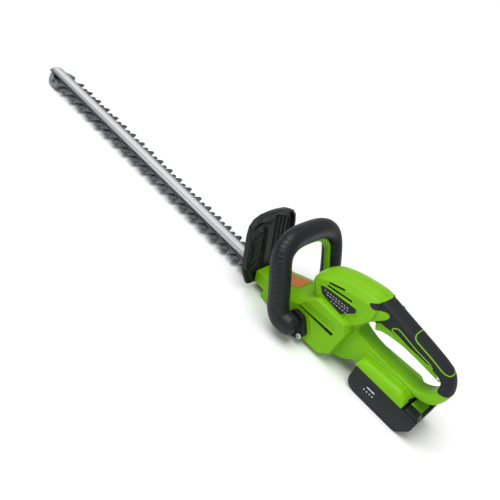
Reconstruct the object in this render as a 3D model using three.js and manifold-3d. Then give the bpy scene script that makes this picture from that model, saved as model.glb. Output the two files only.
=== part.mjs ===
// Cordless hedge trimmer with a double-action blade, a wrap-round front handle
// with its own switch bar, a closed rear handle and a slide-in battery.
// Millimetres. +X runs forward along the blade, +Y is the left side, +Z is up.
// The origin is below the middle of the tool, on the surface it rests on.

import * as THREE from 'three';
import { mergeVertices } from 'three/addons/utils/BufferGeometryUtils.js';
import Module from 'manifold-3d';

const wasm = await Module();
wasm.setup();

// ---------------------------------------------------------------- driving sizes

const GAP = 0.3; // between neighbouring solids
const SEAM = 0.15; // each housing half stands this far off the middle plane
const WALL = 3; // moulded housing wall
const RAD = Math.PI / 180;

const BODY_HALF = 42; // half widths of the housing's stretches
const POD_HALF = 31;
const HANDLE_HALF = 18;
const BEAM_HALF = 20;
const FOOT_HALF = 38;

const TOOTH_PITCH = 25.5;
const TEETH = 20; // on each side of each blade
const TOOTH_ROOT = 14.5; // half width of a blade without its teeth
const TOOTH_TIP = 29;
const TOOTH_BASE = 7.5; // half a tooth's length at its root
const TOOTH_END = 2.2; // and at its tip
const LOWER_FIRST_TOOTH = 391;
const BLADE_SHIFT = 11; // the upper blade's teeth lead the lower's by this at rest
const FAR_SHIFT = -5; // the right-hand row of teeth stands this far back
const BLADE_FRONT = 425;
const LOWER_BLADE = [9, 11.6]; // bottom and top
const UPPER_BLADE = [12.2, 14.8];
const BAR_FRONT = 451;
const BAR_REAR = -152;
const BAR_BOTTOM = 15.2;
const BOLT_COUNT = 5;
const BOLT_FIRST = -90;
const BOLT_STEP = 110;
const BOLT_SHANK = 3.5;

const GEAR_X = -196;
const MODULE = 1.9;
const GEAR_TEETH = 32;
const PINION_TEETH = 8;
const PINION_X = GEAR_X - (MODULE * (GEAR_TEETH + PINION_TEETH)) / 2;
const GEAR_Z = [21, 29];
const THROW = 8; // each cam stands this far off the gear's axis
const CAM_RADIUS = 15;
const CAM_CLEARANCE = 2.2;
const SHAFT_RADIUS = 4;
const BEARING_RADIUS = 9.5;

const BAIL_LEAN = 30.5 * RAD; // the front handle leans forward
const BAIL_RADIUS = 16.5;
const SWITCH_TRAVEL = 3;

const GUARD_LEAN = 22 * RAD;
const GUARD_FOOT = [-119, 8]; // x and z of the middle of its lower edge

const BATTERY_HALF = 37;
const BLOCK_HALF = 19.5; // the rail block on the battery's top
const BLOCK_NECK = 16;
const BUTTON_TOP = [-417, 43]; // x and z of the release button's upper edge
const BUTTON_FOOT = [-436, 36];

const PIVOT = [-421, 104]; // x and z of the trigger's pin

// x, z and the half width of the housing there
const HOUSING_SCREWS = [
  [-136, 27, BODY_HALF], [-288, 106, POD_HALF], [-250, 117, POD_HALF], [-275, 30, BODY_HALF],
  [-318, 127.5, HANDLE_HALF], [-438.5, 86, HANDLE_HALF],
];
const SCREW_WELL = 4.2; // radius of the wells that the screw heads sit in

// -------------------------------------------------------------------- materials

function finish(colour, roughness, metalness) {
  return new THREE.MeshStandardMaterial({ color: colour, roughness, metalness });
}

const GREEN = [0x6cbc1c, 0.4, 0];
const BLACK = [0x2c2e31, 0.55, 0];
const RUBBER = [0x26282b, 0.8, 0];
const CHARCOAL = [0x2f3538, 0.5, 0];
const ORANGE = [0xd8822f, 0.45, 0];
const STEEL = [0xc9cbcc, 0.3, 0.9];
const TOOL_STEEL = [0x4a4c4e, 0.4, 0.85];
const ALLOY = [0x9a9c9e, 0.45, 0.8];
const COPPER = [0x9c5a34, 0.4, 0.8];
const GREY_PLASTIC = [0x7c8688, 0.5, 0];
const BOARD = [0x1f5a36, 0.5, 0];
const CELL_WRAP = [0x3f78a8, 0.4, 0];

// ---------------------------------------------------------------- small helpers

// A closed solid of a geometry, for joining and cutting.
function solid(geometry) {
  const plain = geometry.index ? geometry.toNonIndexed() : geometry.clone();
  plain.deleteAttribute('normal');
  plain.deleteAttribute('uv');
  const merged = mergeVertices(plain, 1e-4);
  return new wasm.Manifold(new wasm.Mesh({
    numProp: 3,
    vertProperties: new Float32Array(merged.attributes.position.array),
    triVerts: new Uint32Array(merged.index.array),
  }));
}

// Back from a solid to a geometry.
function geometryOf(body) {
  const mesh = body.getMesh();
  const geometry = new THREE.BufferGeometry();
  geometry.setAttribute('position', new THREE.BufferAttribute(mesh.vertProperties, 3));
  geometry.setIndex(new THREE.BufferAttribute(mesh.triVerts, 1));
  return geometry;
}

function join(...bodies) {
  return bodies.reduce((all, body) => all.add(body));
}

function cut(body, ...tools) {
  return tools.reduce((left, tool) => left.subtract(tool), body);
}

// A shape through [x, y, r] corners; r rounds the corner with a curve.
function outline(corners) {
  const shape = new THREE.Shape();
  const count = corners.length;
  corners.forEach(([x, y, r = 0], i) => {
    const here = new THREE.Vector2(x, y);
    const before = new THREE.Vector2(...corners[(i + count - 1) % count].slice(0, 2));
    const after = new THREE.Vector2(...corners[(i + 1) % count].slice(0, 2));
    const back = Math.min(r, here.distanceTo(before) / 2);
    const on = Math.min(r, here.distanceTo(after) / 2);
    const start = here.clone().lerp(before, back / here.distanceTo(before));
    const end = here.clone().lerp(after, on / here.distanceTo(after));
    if (i === 0) shape.moveTo(start.x, start.y);
    else shape.lineTo(start.x, start.y);
    if (r > 0) shape.quadraticCurveTo(x, y, end.x, end.y);
  });
  shape.closePath();
  return shape;
}

// The same corners, moved inward by a distance; they run anticlockwise.
function inset(corners, distance) {
  const count = corners.length;
  return corners.map(([x, y, r = 0], i) => {
    const [ax, ay] = corners[(i + count - 1) % count];
    const [bx, by] = corners[(i + 1) % count];
    const before = new THREE.Vector2(x - ax, y - ay).normalize();
    const after = new THREE.Vector2(bx - x, by - y).normalize();
    const inward = new THREE.Vector2(-before.y - after.y, before.x + after.x);
    const scale = distance / (1 + before.dot(after));
    return [x + inward.x * scale, y + inward.y * scale, Math.max(r - distance, 0)];
  });
}

function extrude(shape, depth, curveSegments = 2) {
  return new THREE.ExtrudeGeometry(shape, { depth, bevelEnabled: false, curveSegments });
}

// A side-view outline (x, z), from y = near to y = far.
function sideways(corners, near, far) {
  const geometry = extrude(outline(corners), far - near);
  return geometry.rotateX(Math.PI / 2).translate(0, far, 0);
}

// A plan-view outline (x, y), from z = low to z = high.
function upright(corners, low, high) {
  return extrude(outline(corners), high - low).translate(0, 0, low);
}

function box(x, y, z) {
  const geometry = new THREE.BoxGeometry(x[1] - x[0], y[1] - y[0], z[1] - z[0]);
  return geometry.translate((x[0] + x[1]) / 2, (y[0] + y[1]) / 2, (z[0] + z[1]) / 2);
}

// A vertical cylinder.
function post(x, y, z, radius, sides = 14) {
  const geometry = new THREE.CylinderGeometry(radius, radius, z[1] - z[0], sides);
  return geometry.rotateX(Math.PI / 2).translate(x, y, (z[0] + z[1]) / 2);
}

// A cylinder along Y.
function crossbar(x, z, y, radius, sides = 12) {
  const geometry = new THREE.CylinderGeometry(radius, radius, y[1] - y[0], sides);
  return geometry.translate(x, (y[0] + y[1]) / 2, z);
}

// A round tube along a curve.
function tube(points, radius, sides, steps) {
  const section = new THREE.Shape();
  for (let i = 0; i < sides; i += 1) {
    const turn = ((i + 0.5) / sides) * 2 * Math.PI;
    const spot = [radius * Math.cos(turn), radius * Math.sin(turn)];
    if (i === 0) section.moveTo(...spot);
    else section.lineTo(...spot);
  }
  section.closePath();
  const path = new THREE.CatmullRomCurve3(points.map((p) => new THREE.Vector3(...p)), false, 'centripetal');
  return new THREE.ExtrudeGeometry(section, { steps, extrudePath: path, bevelEnabled: false });
}

function mirrored(points) {
  return points.map(([x, y, z]) => [x, -y, z]);
}

// A U of points: the left half, its middle, and the left half mirrored.
function bothSides(left, middle) {
  return [...left, middle, ...mirrored(left).reverse()];
}

// ---------------------------------------------------------------------- housing

// Each stretch of the housing runs between two side-view outlines with the same
// number of corners: its crest, near the middle plane, and its side face.
const BODY = {
  half: BODY_HALF,
  flat: 20,
  crest: [
    [-124, 0], [-112.5, 28], [-148, 37], [-186, 53], [-210, 63], [-226, 80], [-281, 80], [-291, 64],
    [-287, 16], [-272, 0],
  ],
  side: [
    [-124, 8], [-116, 20], [-150, 28], [-186, 39], [-203, 47], [-224, 77], [-279, 77], [-288, 63],
    [-284, 22], [-268, 8],
  ],
};

const POD = {
  half: POD_HALF,
  flat: 10,
  crest: [
    [-212, 42], [-206, 68], [-192, 88], [-197, 100], [-206, 111], [-220, 119.5], [-240, 128.5],
    [-261, 134], [-284, 138], [-300, 137], [-306, 122], [-301, 98], [-281, 70], [-278, 42],
  ],
  side: [
    [-221, 42], [-221, 74], [-206, 86], [-202, 93], [-208, 101], [-219, 106], [-240, 112],
    [-263, 117], [-284, 123], [-298, 123], [-304, 110], [-298, 95], [-280, 70], [-276, 42],
  ],
};

const LOOP = {
  half: HANDLE_HALF,
  flat: 6,
  crest: [
    [-262, 56], [-262, 134], [-300, 138], [-332, 133], [-360, 129], [-388, 125], [-412, 121],
    [-430, 116], [-441, 106], [-449, 92], [-449, 80], [-444, 66], [-434, 56], [-414, 50.5],
    [-400, 50.5],
  ],
};
LOOP.side = inset(LOOP.crest, 6);

const HAND_OPENING = {
  crest: [
    [-290, 74], [-299, 94], [-304, 105], [-422, 105], [-430, 97], [-430, 84], [-424, 73],
    [-410, 64], [-364, 63], [-322, 65], [-300, 70],
  ],
};
HAND_OPENING.side = inset(HAND_OPENING.crest, -4);

const BEAM = {
  half: BEAM_HALF,
  flat: 8,
  crest: [
    [-262, 3], [-262, 68], [-292, 73], [-322, 65], [-364, 63], [-404, 62.5], [-412, 58],
    [-414, 43], [-325, 39.2], [-325, 32], [-300, 12], [-280, 3],
  ],
  side: [
    [-262, 10], [-262, 60], [-290, 60], [-324, 54], [-354, 57], [-392, 56], [-405, 54],
    [-409, 42.5], [-325, 39.2], [-322, 34], [-298, 17], [-282, 10],
  ],
};

// Its roof slopes from the beam down to a low edge over the battery's rails.
const FOOT = {
  half: FOOT_HALF,
  flat: 20,
  crest: [
    [-323, 39], [-323, 45], [-333, 52], [-355, 57], [-392, 54], [-406, 49], [-412, 44], [-412, 39],
  ],
  side: [
    [-324, 39], [-324.5, 41.5], [-333, 44], [-355, 45], [-392, 44.5], [-405, 43.5], [-411, 41.5],
    [-411, 39],
  ],
};

const CHANNEL_TOP = 47; // roof of the slot that takes the battery's rail block

// A closed skin through outlines set at stations along Y, first to last.
function loft(stations) {
  const count = stations[0].corners.length;
  const spots = stations.flatMap(({ y, corners }) => corners.map(([x, z]) => [x, y, z])).flat();
  const faces = [];
  for (let s = 0; s < stations.length - 1; s += 1) {
    for (let i = 0; i < count; i += 1) {
      const here = s * count + i;
      const next = s * count + ((i + 1) % count);
      faces.push(here, here + count, next, next, here + count, next + count);
    }
  }
  const cap = (corners) => THREE.ShapeUtils.triangulateShape(corners.map((c) => new THREE.Vector2(...c)), []);
  cap(stations[0].corners).forEach(([a, b, c]) => faces.push(a, b, c));
  const last = (stations.length - 1) * count;
  cap(stations.at(-1).corners).forEach(([a, b, c]) => faces.push(last + a, last + c, last + b));
  const geometry = new THREE.BufferGeometry();
  geometry.setAttribute('position', new THREE.Float32BufferAttribute(spots, 3));
  return geometry.setIndex(faces);
}

// Corners part of the way from one outline to another.
function between(from, to, share) {
  return from.map(([x, z], i) => [x + (to[i][0] - x) * share, z + (to[i][1] - z) * share]);
}

// A whole stretch, both sides of the middle plane; wall moves it in by that much.
function stretch({ half, flat, crest, side }, wall = 0) {
  const top = inset(crest, wall);
  const edge = inset(side, wall);
  const shoulder = flat + (half - flat) * 0.65;
  const right = [
    { y: wall - half, corners: edge },
    { y: wall - shoulder, corners: between(top, edge, 0.32) },
    { y: wall - flat, corners: top },
  ];
  const left = right.map(({ y, corners }) => ({ y: -y, corners })).reverse();
  return solid(loft([...right, ...left]));
}

// The hand opening, wider towards both sides; wall leaves that much round it.
function handOpening(wall = 0) {
  const middle = inset(HAND_OPENING.crest, -wall);
  const edge = inset(HAND_OPENING.side, -wall);
  return solid(loft([
    { y: -60, corners: edge },
    { y: -HANDLE_HALF, corners: edge },
    { y: -10, corners: middle },
    { y: 10, corners: middle },
    { y: HANDLE_HALF, corners: edge },
    { y: 60, corners: edge },
  ]));
}

// What is taken off each side of the nose, so that it narrows to the guard, and
// off its lower corners.
function noseTaper(side, wall) {
  const plan = [[-90, 22], [-130, 29], [-152, 33], [-185, BODY_HALF]].map(([x, y]) => [x, y - wall]);
  const line = [...plan, [-185, 60], [-90, 60]];
  const flank = solid(upright(side > 0 ? line.reverse() : line.map(([x, y]) => [x, -y]), -10, 120));
  const chamfer = new THREE.BoxGeometry(60, 60, 30).translate(0, 30, wall - 15);
  chamfer.rotateX(37 * RAD).translate(-112, 13, 0);
  if (side < 0) chamfer.rotateZ(Math.PI).translate(-224, 0, 0);
  return join(flank, solid(chamfer));
}

const ENVELOPE = cut(
  join(
    stretch(BODY),
    stretch(POD),
    cut(stretch(LOOP), handOpening()),
    cut(stretch(BEAM), handOpening()),
    stretch(FOOT),
  ),
  noseTaper(1, 0),
  noseTaper(-1, 0),
);

function housingShell() {
  const room = join(
    stretch(BODY, WALL),
    stretch(POD, WALL),
    cut(stretch(LOOP, WALL), handOpening(WALL)),
    cut(stretch(BEAM, WALL), handOpening(WALL)),
  );
  return cut(ENVELOPE, cut(room, noseTaper(1, WALL), noseTaper(-1, WALL)));
}

function ventSlot(from, to, height, side) {
  const length = Math.hypot(to[0] - from[0], to[1] - from[1]);
  const slot = new THREE.BoxGeometry(length, 36, height);
  slot.rotateY(-Math.atan2(to[1] - from[1], to[0] - from[0]));
  return solid(slot.translate((from[0] + to[0]) / 2, side * 38, (from[1] + to[1]) / 2));
}

function vents(side) {
  return [
    ventSlot([-266, 108], [-222, 100], 3, side),
    ventSlot([-248, 114], [-222, 105.5], 3, side),
    ventSlot([-272, 49.5], [-207, 49.5], 4, side),
  ];
}

function batteryChannel() {
  const wide = box([-450, -331], [-BLOCK_HALF - 0.6, BLOCK_HALF + 0.6], [41.8, CHANNEL_TOP]);
  const neck = box([-450, -331], [-BLOCK_NECK - 0.6, BLOCK_NECK + 0.6], [38, 42]);
  return join(solid(wide), solid(neck));
}

// The pillar inside a housing half that a screw passes or bites into.
function screwPillar([x, z, half], side) {
  if (side > 0) return solid(crossbar(x, z, [SEAM, half - 1], 4, 8));
  return solid(crossbar(x, z, [1 - half, -SEAM], SCREW_WELL + 1.8, 10));
}

function screwBore([x, z, half], side) {
  if (side > 0) return solid(crossbar(x, z, [-1, 10], 1.9, 6));
  const well = half > HANDLE_HALF ? HANDLE_HALF : half + 0.5;
  return join(
    solid(crossbar(x, z, [-HANDLE_HALF - 1, 1], 2.3, 6)),
    solid(crossbar(x, z, [-half - 1, -well], SCREW_WELL, 10)),
  );
}

const SHELL = housingShell();

function housingHalf(side) {
  const block = box([-500, 0], side > 0 ? [SEAM, 60] : [-60, -SEAM], [-10, 200]);
  const shell = join(
    SHELL.intersect(solid(block)),
    ...HOUSING_SCREWS.map((at) => screwPillar(at, side).intersect(ENVELOPE)),
  );
  return geometryOf(cut(
    shell,
    ...HOUSING_SCREWS.map((at) => screwBore(at, side)),
    ...vents(side),
    batteryChannel(),
    solid(box([-429, -302], [-14.6, 14.6], [92, 113.5])), // slot for the trigger
    solid(box([-234, -142], [-26.4, 26.4], [-1, 8.6])), // window for the gear case
    solid(box([-150, -90], [-17, 17], [6, 23])), // mouth for the blades
    solid(box([-336, -326], [-18.6, 18.6], [40, CHANNEL_TOP])), // seat for the terminal block
    ...GUARD_SCREWS.map((at) => guardBore(at, 2.3)),
    solid(crossbar(...BRACKET_SCREW, [-BODY_HALF - 1, BODY_HALF + 1], 2, 8)),
    solid(crossbar(...PIVOT, [-16.6, 16.6], 2.5 + GAP, 10)),
  ));
}

// ----------------------------------------------------------- pieces on the shell

// Rubber moulded round the handle, as far as this side-view outline reaches.
const GRIP_REACH = [
  [-308, 160], [-308, 128], [-314, 127.5], [-318, 121], [-310, 110.5], [-334, 109.5],
  [-404, 109.5], [-420, 106], [-426, 96], [-426, 80], [-460, 80], [-460, 160],
];
const GRIP_DEPTH = 2.2;

function grip(side) {
  const reach = sideways(GRIP_REACH, ...(side > 0 ? [SEAM, 40] : [-40, -SEAM]));
  const rubber = cut(stretch(LOOP, -GRIP_DEPTH), handOpening(-GRIP_DEPTH)).intersect(solid(reach));
  const handle = cut(stretch(LOOP, -GAP), handOpening(-GAP));
  const wells = HOUSING_SCREWS.filter(([, , half]) => half === HANDLE_HALF);
  return geometryOf(cut(
    rubber,
    handle,
    solid(box([-432, -302], [-16.6, 16.6], [88, 112])), // clear of the trigger and its pin
    ...wells.map(([x, z]) => solid(crossbar(x, z, [-60, 0], SCREW_WELL, 10))),
  ));
}

const NAMEPLATE_OUTLINE = [
  [-215, 93, 1], [-223, 85, 1], [-262, 80.8, 1], [-279, 99, 1], [-276, 103.5, 1], [-222, 96],
];

function nameplate(side) {
  const y = [POD_HALF + GAP, POD_HALF + 1.5];
  return sideways(NAMEPLATE_OUTLINE, ...(side > 0 ? y : [-y[1], -y[0]]));
}

// A blank sticker on the deck that rises from the guard to the motor hump.
function deckLabel() {
  const slope = Math.atan2(53 - 37, 186 - 148);
  const label = new THREE.BoxGeometry(36, 36, 0.8).translate(0, 0, GAP + 0.4);
  return label.rotateY(slope).translate(-167, 0, 45);
}

// ------------------------------------------------------------------ front guard

const GUARD_OUTLINE = [
  [-44, 0, 6], [44, 0, 6], [60, 28, 8], [59.5, 101, 16], [34, 114, 26], [-34, 114, 26],
  [-59.5, 101, 16], [-60, 28, 8],
];
const GUARD_SCREWS = [[-20.5, 15], [20.5, 15]];

// Takes a flat geometry (width, height, thickness forward) onto the guard's lean.
function ontoGuard(geometry) {
  const across = new THREE.Vector3(0, 1, 0);
  const up = new THREE.Vector3(Math.sin(GUARD_LEAN), 0, Math.cos(GUARD_LEAN));
  const forward = across.clone().cross(up);
  const place = new THREE.Matrix4().makeBasis(across, up, forward);
  place.setPosition(GUARD_FOOT[0], 0, GUARD_FOOT[1]);
  return geometry.applyMatrix4(place);
}

function guardBore([across, up], radius) {
  const bore = new THREE.CylinderGeometry(radius, radius, 34, 8);
  return solid(ontoGuard(bore.rotateX(Math.PI / 2).translate(across, up, -8)));
}

function handGuard() {
  const plate = extrude(outline(GUARD_OUTLINE), 3.5);
  const rim = extrude(outline(GUARD_OUTLINE), 8.5).translate(0, 0, -5);
  const inner = extrude(outline(inset(GUARD_OUTLINE, 4)), 12).translate(0, 0, -7);
  const foot = new THREE.BoxGeometry(130, 60, 10.1).translate(0, 0, -5.05);
  const raised = cut(solid(rim), solid(inner), solid(foot));
  const notch = new THREE.BoxGeometry(30, 40, 20).translate(0, -3, 0);
  const flat = cut(join(solid(plate), raised), solid(notch));
  return geometryOf(cut(
    solid(ontoGuard(geometryOf(flat))),
    ...GUARD_SCREWS.map((at) => guardBore(at, 2.3)),
  ));
}

function guardScrew([across, up]) {
  const head = new THREE.CylinderGeometry(4, 4, 2.4, 10).rotateX(Math.PI / 2).translate(across, up, 5);
  const shank = new THREE.CylinderGeometry(2, 2, 18, 6).rotateX(Math.PI / 2).translate(across, up, -5);
  return geometryOf(join(solid(ontoGuard(head)), solid(ontoGuard(shank))));
}

// ----------------------------------------------------------------- front handle

const BAIL_LEFT = [
  [-229, 67.6, 31], [-216, 68, 28.5], [-203, 69.2, 29], [-192, 70, 38], [-181, 71, 59],
  [-168, 71, 83], [-157, 70, 101], [-150, 64, 112.5], [-145.5, 51, 120.5], [-143, 34, 124.5],
];
const BAIL_TOP = [-142, 0, 126];
const LEAN_UP = [Math.sin(BAIL_LEAN), Math.cos(BAIL_LEAN)];

const SWITCH_LEFT = [
  [-195, 58, 38], [-182, 58, 60], [-169, 58, 82], [-161.5, 57, 94.5], [-156, 49, 104],
  [-151.5, 36, 111.5], [-149.5, 18, 114.5],
];
const SWITCH_TOP = [-149.2, 0, 115];

// A big block on one side of the plane that the handle leans in.
function besideBail(front) {
  const block = new THREE.BoxGeometry(120, 240, 320).translate(front ? 60 + SEAM : -60 - SEAM, 0, 0);
  return solid(block.rotateY(BAIL_LEAN).translate(-168, 0, 83));
}

function switchBar(radius, rise, sides) {
  const points = bothSides(SWITCH_LEFT, SWITCH_TOP);
  const lifted = points.map(([x, y, z]) => [x + LEAN_UP[0] * rise, y, z + LEAN_UP[1] * rise]);
  return tube(lifted, radius, sides, 18);
}

function handleShell(front) {
  const outer = tube(bothSides(BAIL_LEFT, BAIL_TOP), BAIL_RADIUS, 12, 24);
  const inner = tube(bothSides(BAIL_LEFT.slice(1), BAIL_TOP), BAIL_RADIUS - 3.5, 6, 18);
  const rises = [-0.4, SWITCH_TRAVEL / 2, SWITCH_TRAVEL + 0.4];
  const slots = rises.map((rise) => solid(switchBar(6.8, rise, 6)));
  const shell = cut(solid(outer), solid(inner), ...slots);
  return geometryOf(shell.intersect(besideBail(front)));
}

const BRACKET_OUTLINE = [
  [-203, 37, 3], [-209, 43, 3], [-226, 42, 4], [-243, 20, 4], [-237, 8, 4], [-219, 1.5, 4],
  [-203, 8, 4],
];
const BRACKET_SCREW = [-236, 14];

function handleBracket(side) {
  const y = side > 0 ? [BODY_HALF + GAP, 50.5] : [-50.5, -BODY_HALF - GAP];
  const bore = crossbar(...BRACKET_SCREW, [-60, 60], 2.3, 10);
  return geometryOf(cut(solid(sideways(BRACKET_OUTLINE, ...y)), solid(bore)));
}

function bracketScrew(side) {
  const head = crossbar(...BRACKET_SCREW, side > 0 ? [50.8, 53.4] : [-53.4, -50.8], 4.5, 14);
  const shank = crossbar(...BRACKET_SCREW, side > 0 ? [39.4, 51] : [-51, -39.4], 1.6, 8);
  return geometryOf(join(solid(head), solid(shank)));
}

// ------------------------------------------------------------------ cutting gear

function tooth(x, side) {
  return [[-TOOTH_BASE, TOOTH_ROOT], [-TOOTH_END, TOOTH_TIP], [TOOTH_END, TOOTH_TIP],
    [TOOTH_BASE, TOOTH_ROOT]].map(([along, out]) => [x + along, side * out]);
}

// Plan outline of a blade: tang and yoke at the back, teeth, rounded front.
function bladeCorners(shift) {
  const left = [];
  const right = [];
  for (let i = TEETH - 1; i >= 0; i -= 1) {
    const x = LOWER_FIRST_TOOTH + shift - TOOTH_PITCH * i;
    left.push(...tooth(x, 1));
    right.push(...tooth(x + FAR_SHIFT, -1));
  }
  const yoke = CAM_RADIUS + CAM_CLEARANCE + 6;
  const reach = 30;
  const back = [[GEAR_X + yoke, TOOTH_ROOT], [GEAR_X + yoke, reach], [GEAR_X - yoke, reach],
    [GEAR_X - yoke, -reach], [GEAR_X + yoke, -reach], [GEAR_X + yoke, -TOOTH_ROOT]];
  const front = [[BLADE_FRONT - 8, -TOOTH_ROOT], [BLADE_FRONT, -8], [BLADE_FRONT, 8],
    [BLADE_FRONT - 8, TOOTH_ROOT]];
  return [...back, ...right, ...front, ...left.reverse()];
}

function blade(shift, [low, high]) {
  const plate = solid(upright(bladeCorners(shift), low, high));
  const windowX = CAM_RADIUS + CAM_CLEARANCE;
  const windowY = CAM_RADIUS + THROW + 1;
  const yokeWindow = box([GEAR_X - windowX, GEAR_X + windowX], [-windowY, windowY], [0, 30]);
  const slots = [];
  for (let i = 0; i < BOLT_COUNT; i += 1) {
    const x = BOLT_FIRST + BOLT_STEP * i;
    const reach = THROW + BOLT_SHANK + 0.8;
    const wide = BOLT_SHANK + 0.5;
    const corners = [[x - reach, -wide, 3], [x + reach, -wide, 3], [x + reach, wide, 3], [x - reach, wide, 3]];
    slots.push(solid(upright(corners, 0, 30)));
  }
  return geometryOf(cut(plate, solid(yokeWindow), ...slots));
}

// The channel over the blades, with a raised middle and a rounded front end.
function supportBar() {
  const half = 13.5;
  const section = [
    [-half, 0], [-9, 0], [-9, 1.3], [9, 1.3], [9, 0], [half, 0], [half, 2.2], [6, 4.4], [-6, 4.4],
    [-half, 2.2],
  ];
  const long = extrude(outline(section), BAR_FRONT - BAR_REAR);
  long.applyMatrix4(new THREE.Matrix4().makeBasis(
    new THREE.Vector3(0, 1, 0), new THREE.Vector3(0, 0, 1), new THREE.Vector3(1, 0, 0),
  ));
  long.translate(BAR_REAR, 0, BAR_BOTTOM);
  const plan = [[BAR_REAR - 1, -20], [BAR_FRONT, -20, 20], [BAR_FRONT, 20, 20], [BAR_REAR - 1, 20]];
  const bores = [];
  for (let i = 0; i < BOLT_COUNT; i += 1) {
    bores.push(solid(post(BOLT_FIRST + BOLT_STEP * i, 0, [0, 18.4], BOLT_SHANK + GAP, 12)));
  }
  return geometryOf(cut(solid(long).intersect(solid(upright(plan, 0, 40))), ...bores));
}

function bladeBolt(i) {
  const x = BOLT_FIRST + BOLT_STEP * i;
  const head = post(x, 0, [5.4, 8.6], 6, 6);
  const shank = post(x, 0, [8, 18.1], BOLT_SHANK, 12);
  return geometryOf(join(solid(head), solid(shank)));
}

// The blunt nose that keeps the blade's end off walls and the ground.
function tipProtector() {
  const plan = [[404, -28, 3], [428, -28, 24], [446, -10, 12], [446, 10, 12], [428, 28, 24], [404, 28, 3]];
  const lower = solid(upright(plan, 4, 8.3));
  const rim = cut(solid(upright(plan, 4, 14.9)), solid(upright(inset(plan, 6.5), 0, 30)));
  const behind = solid(box([390, 420], [-40, 40], [8.3, 30]));
  return geometryOf(join(lower, cut(rim, behind)));
}

// ------------------------------------------------------------------- drive train

// Outline of a spur gear; phase turns it, in teeth.
function gearCorners(teeth, phase) {
  const pitch = (MODULE * teeth) / 2;
  const corners = [];
  for (let i = 0; i < teeth; i += 1) {
    [[-0.32, -1.2], [-0.1, 0.8], [0.1, 0.8], [0.32, -1.2]].forEach(([turn, rise]) => {
      const angle = ((i + phase + turn) / teeth) * 2 * Math.PI;
      const radius = pitch + rise * MODULE;
      corners.push([radius * Math.cos(angle), radius * Math.sin(angle)]);
    });
  }
  return corners;
}

function driveGear() {
  const wheel = solid(upright(gearCorners(GEAR_TEETH, 0), ...GEAR_Z).translate(GEAR_X, 0, 0));
  const hub = solid(post(GEAR_X, 0, [15, GEAR_Z[0] + 1], 8));
  const upperCam = solid(post(GEAR_X, THROW, [11.9, 15.4], CAM_RADIUS, 20));
  const lowerCam = solid(post(GEAR_X, -THROW, [8.8, 11.9], CAM_RADIUS, 20));
  const bore = solid(post(GEAR_X, 0, [0, 40], SHAFT_RADIUS + GAP));
  return geometryOf(cut(join(wheel, hub, upperCam, lowerCam), bore));
}

function bearing(low, high) {
  const outer = solid(post(GEAR_X, 0, [low, high], BEARING_RADIUS));
  return geometryOf(cut(outer, solid(post(GEAR_X, 0, [0, 60], SHAFT_RADIUS + GAP))));
}

function gearCaseLower() {
  const plate = solid(box([-233, -143], [-26, 26], [0, 8.4]));
  const seat = solid(post(GEAR_X, 0, [2.7, 9], BEARING_RADIUS + GAP));
  return geometryOf(cut(plate, seat));
}

function gearCaseUpper() {
  const block = solid(box([-248, -143], [-35, 35], [8.8, 40])).intersect(stretch(BODY, WALL + GAP));
  const cover = cut(block, noseTaper(1, WALL + GAP), noseTaper(-1, WALL + GAP));
  const yokeRoom = join(
    solid(box([-229, -176], [-32.8, 32.8], [0, 30.4])),
    solid(box([-180, -162], [-30.7, 30.7], [0, 30.4])),
  );
  const pinionRoom = solid(post(PINION_X, 0, [0, 60], 11));
  const mouth = solid(box([-164, -100], [-16, 16], [0, 22]));
  const seat = solid(post(GEAR_X, 0, [30, 37.4], BEARING_RADIUS + GAP));
  return geometryOf(cut(cover, yokeRoom, pinionRoom, mouth, seat));
}

function motorCan() {
  const wall = solid(post(PINION_X, 0, [46, 95], 23, 18));
  const room = solid(post(PINION_X, 0, [49, 100], 20, 18));
  return geometryOf(cut(wall, room, solid(post(PINION_X, 0, [40, 60], 8, 10))));
}

function motorRotor() {
  const shaft = solid(post(PINION_X, 0, [20, 109], 2.5, 8));
  return geometryOf(join(shaft, solid(post(PINION_X, 0, [54, 90], 17.5, 14))));
}

function motorPinion() {
  const wheel = upright(gearCorners(PINION_TEETH, 0.5), ...GEAR_Z).translate(PINION_X, 0, 0);
  return geometryOf(cut(solid(wheel), solid(post(PINION_X, 0, [0, 60], 2.5 + 2 * GAP, 8))));
}

function motorFan() {
  let fan = join(
    solid(post(PINION_X, 0, [97.5, 105.5], 6, 10)),
    solid(post(PINION_X, 0, [97.5, 99.5], 18, 14)),
  );
  for (let i = 0; i < 6; i += 1) {
    const vane = new THREE.BoxGeometry(12, 1.6, 6).translate(11, 0, 101.5);
    fan = fan.add(solid(vane.rotateZ((i / 6) * 2 * Math.PI).translate(PINION_X, 0, 0)));
  }
  return geometryOf(cut(fan, solid(post(PINION_X, 0, [90, 130], 2.5 + 2 * GAP, 8))));
}

// -------------------------------------------------------- trigger and electrics

const TRIGGER_OUTLINE = [
  [-306, 112, 2], [-424, 112, 4], [-427, 108, 2], [-426, 98, 3], [-409, 99, 6], [-378, 101, 8],
  [-357, 101, 8], [-333, 98, 6], [-319, 94, 3], [-312, 89, 2], [-304, 103, 4],
];

function trigger() {
  const lever = solid(sideways(TRIGGER_OUTLINE, -14, 14));
  const under = solid(sideways(inset(TRIGGER_OUTLINE, 3), -11, 11));
  const open = solid(box([-408, -322], [-11, 11], [104, 120]));
  const springRoom = solid(box([-440, -412], [-5.2, 5.2], [90, 120]));
  const bore = solid(crossbar(...PIVOT, [-20, 20], 2.5 + GAP, 10));
  return geometryOf(cut(lever, under.intersect(open), open, springRoom, bore));
}

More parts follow.
